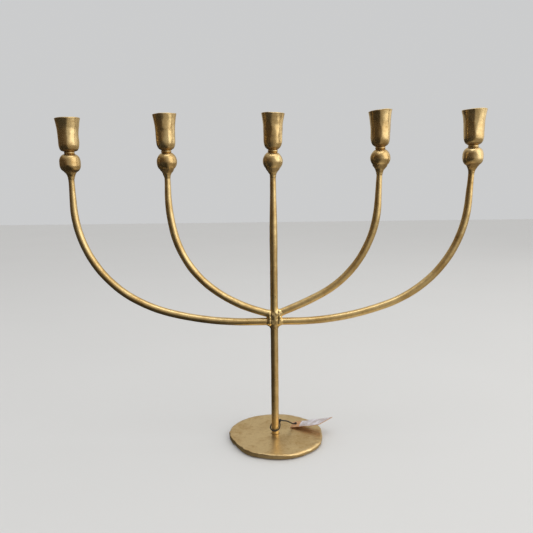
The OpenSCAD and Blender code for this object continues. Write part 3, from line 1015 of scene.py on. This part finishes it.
def hammer_base(points, angle, near, on_top, on_side):
    """Works the plate's points: a shallow dish, small marks along the rim, a wavy wall."""
    dish = 0.10 * blows(points, 19, 301) + 0.10 * (1 + smooth_noise(points, 26, 302))
    right = np.clip(np.cos(angle - math.radians(-25)), 0, 1) ** 0.7
    rim_work = 0.6 * blows(points, 4.2, 303) * ramp(near + 0.30 * right, 0.92, 1.2)
    rim_work *= 0.25 + 0.75 * right
    points[:, 2] -= np.where(on_top, dish + rim_work, 0)
    work = 0.5 * smooth_noise(points, 6, 304) - 0.85 * (blows(points * [1, 1, 1.6], 6, 305) - 0.4)
    work = np.where(on_side, work, 0.5 * work * ramp(near, 0.93, 1) * on_top)
    out = points[:, :2] - np.array(BASE_SHIFT)
    out /= np.maximum(np.linalg.norm(out, axis=1), 1e-6)[:, None]
    points[:, :2] += out * work[:, None]


def make_base(material):
    sides = 260
    angle = np.linspace(0, 2 * math.pi, sides, endpoint=False)
    edge = base_edge(angle)
    r, z = base_rings(angle, edge)
    rings = np.stack([r * np.cos(angle) + BASE_SHIFT[0], r * np.sin(angle) + BASE_SHIFT[1], z], -1)
    shape = rings.shape
    points = rings.reshape(-1, 3)
    row = np.repeat(np.arange(shape[0]), sides)
    near = np.clip((r / edge).ravel(), 0, 1)
    on_top = row < FLAT_RINGS + len(BEVEL_RINGS)
    on_side = (row >= FLAT_RINGS) & (row < shape[0] - 3)
    hammer_base(points, np.tile(angle, shape[0]), near, on_top, on_side)
    worn = ramp(near, 0.955, 0.985) * on_top
    foot = 1 - ramp(np.hypot(points[:, 0], points[:, 1]), 5, 8)
    # Painted shade along the wall's lower edge and underneath, lighter where the rim is worn, and
    # darker round the stem's foot.
    patina_and_shade = 0.12 + 0.35 * (row > shape[0] - 6) - 0.25 * worn + 0.5 * on_top * foot
    body, faces = closed_tube(points.reshape(shape))
    body[-2] -= [0, 0, 0.2]
    patina_and_shade = np.append(np.clip(patina_and_shade, 0, 1), [0, 0])
    piece = make_piece("hammered_base", body, faces, material, patina_and_shade=patina_and_shade)
    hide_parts("base_plate")


# ---- Stage ----------------------------------------------------------------------------------------


def make_floor():
    bpy.ops.mesh.primitive_plane_add(size=8, location=(0, 0, 0))
    floor = bpy.context.object
    floor.name = "floor"
    floor.data.materials.append(floor_paint())


def area_light(name, azimuth, elevation, distance, size, power, colour=(1, 1, 1)):
    """A soft light at azimuth degrees right of the camera's side, aimed at the candelabrum."""
    data = bpy.data.lights.new(name, "AREA")
    data.shape, data.size, data.size_y = "RECTANGLE", size[0], size[1]
    data.energy, data.color = power, colour
    light = bpy.data.objects.new(name, data)
    bpy.context.scene.collection.objects.link(light)
    a, e = math.radians(azimuth), math.radians(elevation)
    away = Matrix.Rotation(a, 4, "Z") @ Matrix.Rotation(math.radians(90) - e, 4, "X")
    aim = Matrix.Translation((0, 0, 0.28))
    light.matrix_world = aim @ away @ Matrix.Translation((0, 0, distance))


def make_lights():
    area_light("window", 60, 24, 1.7, (1.7, 1.9), 8.5, (1.0, 0.99, 0.95))
    area_light("side", 112, 20, 2.0, (1.5, 1.6), 3, (1.0, 0.97, 0.92))
    area_light("top", 10, 82, 1.8, (1.4, 1.1), 7, (0.98, 0.99, 1.0))


def make_world():
    """A pale studio. What the metal mirrors of it is dark and warm to the left, bright to the right,
    half as bright behind, and a little brighter above."""
    world = bpy.data.worlds.new("studio")
    bpy.context.scene.world = world
    world.use_nodes = True
    world.node_tree.nodes.clear()
    g = Graph(world.node_tree)
    place = g.add("ShaderNodeTexCoord").outputs["Generated"]
    axes = g.add("ShaderNodeSeparateXYZ", {0: place}).outputs
    front = g.spread(axes["X"], -0.75, 1.0, 0.07, 0.74)
    behind = g.spread(axes["X"], -0.95, -0.35, 0.07, 0.43)
    back = g.spread(axes["Y"], 0.1, 0.8)
    around = g.add("ShaderNodeMix", {0: back, 2: front, 3: behind}).outputs[0]
    above = g.spread(axes["Z"], 0.3, 0.9, 0.0, 0.28)
    level = g.add("ShaderNodeMath", {0: around, 1: above}, operation="ADD").outputs[0]
    green, blue = g.spread(level, 0.05, 0.4, 0.66, 0.93), g.spread(level, 0.05, 0.4, 0.34, 0.80)
    tint = g.add("ShaderNodeCombineColor", {0: 1.0, 1: green, 2: blue}).outputs[0]
    mirrored = g.add("ShaderNodeBackground", {"Color": tint, "Strength": level})
    room = g.add("ShaderNodeBackground", {"Color": (0.88, 0.885, 0.89, 1)})
    seen = g.add("ShaderNodeBackground", {"Color": (0.60, 0.605, 0.61, 1)})
    ray = g.add("ShaderNodeLightPath").outputs
    inputs = {0: ray["Is Glossy Ray"], 1: room.outputs[0], 2: mirrored.outputs[0]}
    soft = g.add("ShaderNodeMixShader", inputs)
    inputs = {0: ray["Is Camera Ray"], 1: soft.outputs[0], 2: seen.outputs[0]}
    g.add("ShaderNodeOutputWorld", {0: g.add("ShaderNodeMixShader", inputs).outputs[0]})


# ---- The whole ------------------------------------------------------------------------------------


def finish_cad_nodes():
    """CAD nodes that stay as they are get their finish."""
    for node, material in (("felt_pad", felt()), ("base_screw", steel())):
        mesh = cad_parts[node].data
        mesh.materials.clear()
        mesh.materials.append(material)


make_camera()
make_tag_and_cord()
rods, cups, brazes = rod_brass(), cup_brass(), braze_brass()
make_stem(rods, 1)
for salt, arm in enumerate(ARMS):
    make_arm(arm, rods, 5 + 4 * salt)
for light in range(len(LIGHTS)):
    make_cup(light, cups)
    make_ball(light, cups)
    make_ring(light, cups)
    make_braze(light, brazes)
    make_rivet(light, rods)
make_hub(brazes)
make_base(base_brass())
finish_cad_nodes()
make_floor()
make_lights()
make_world()
bpy.context.scene.view_settings.view_transform = "Standard"
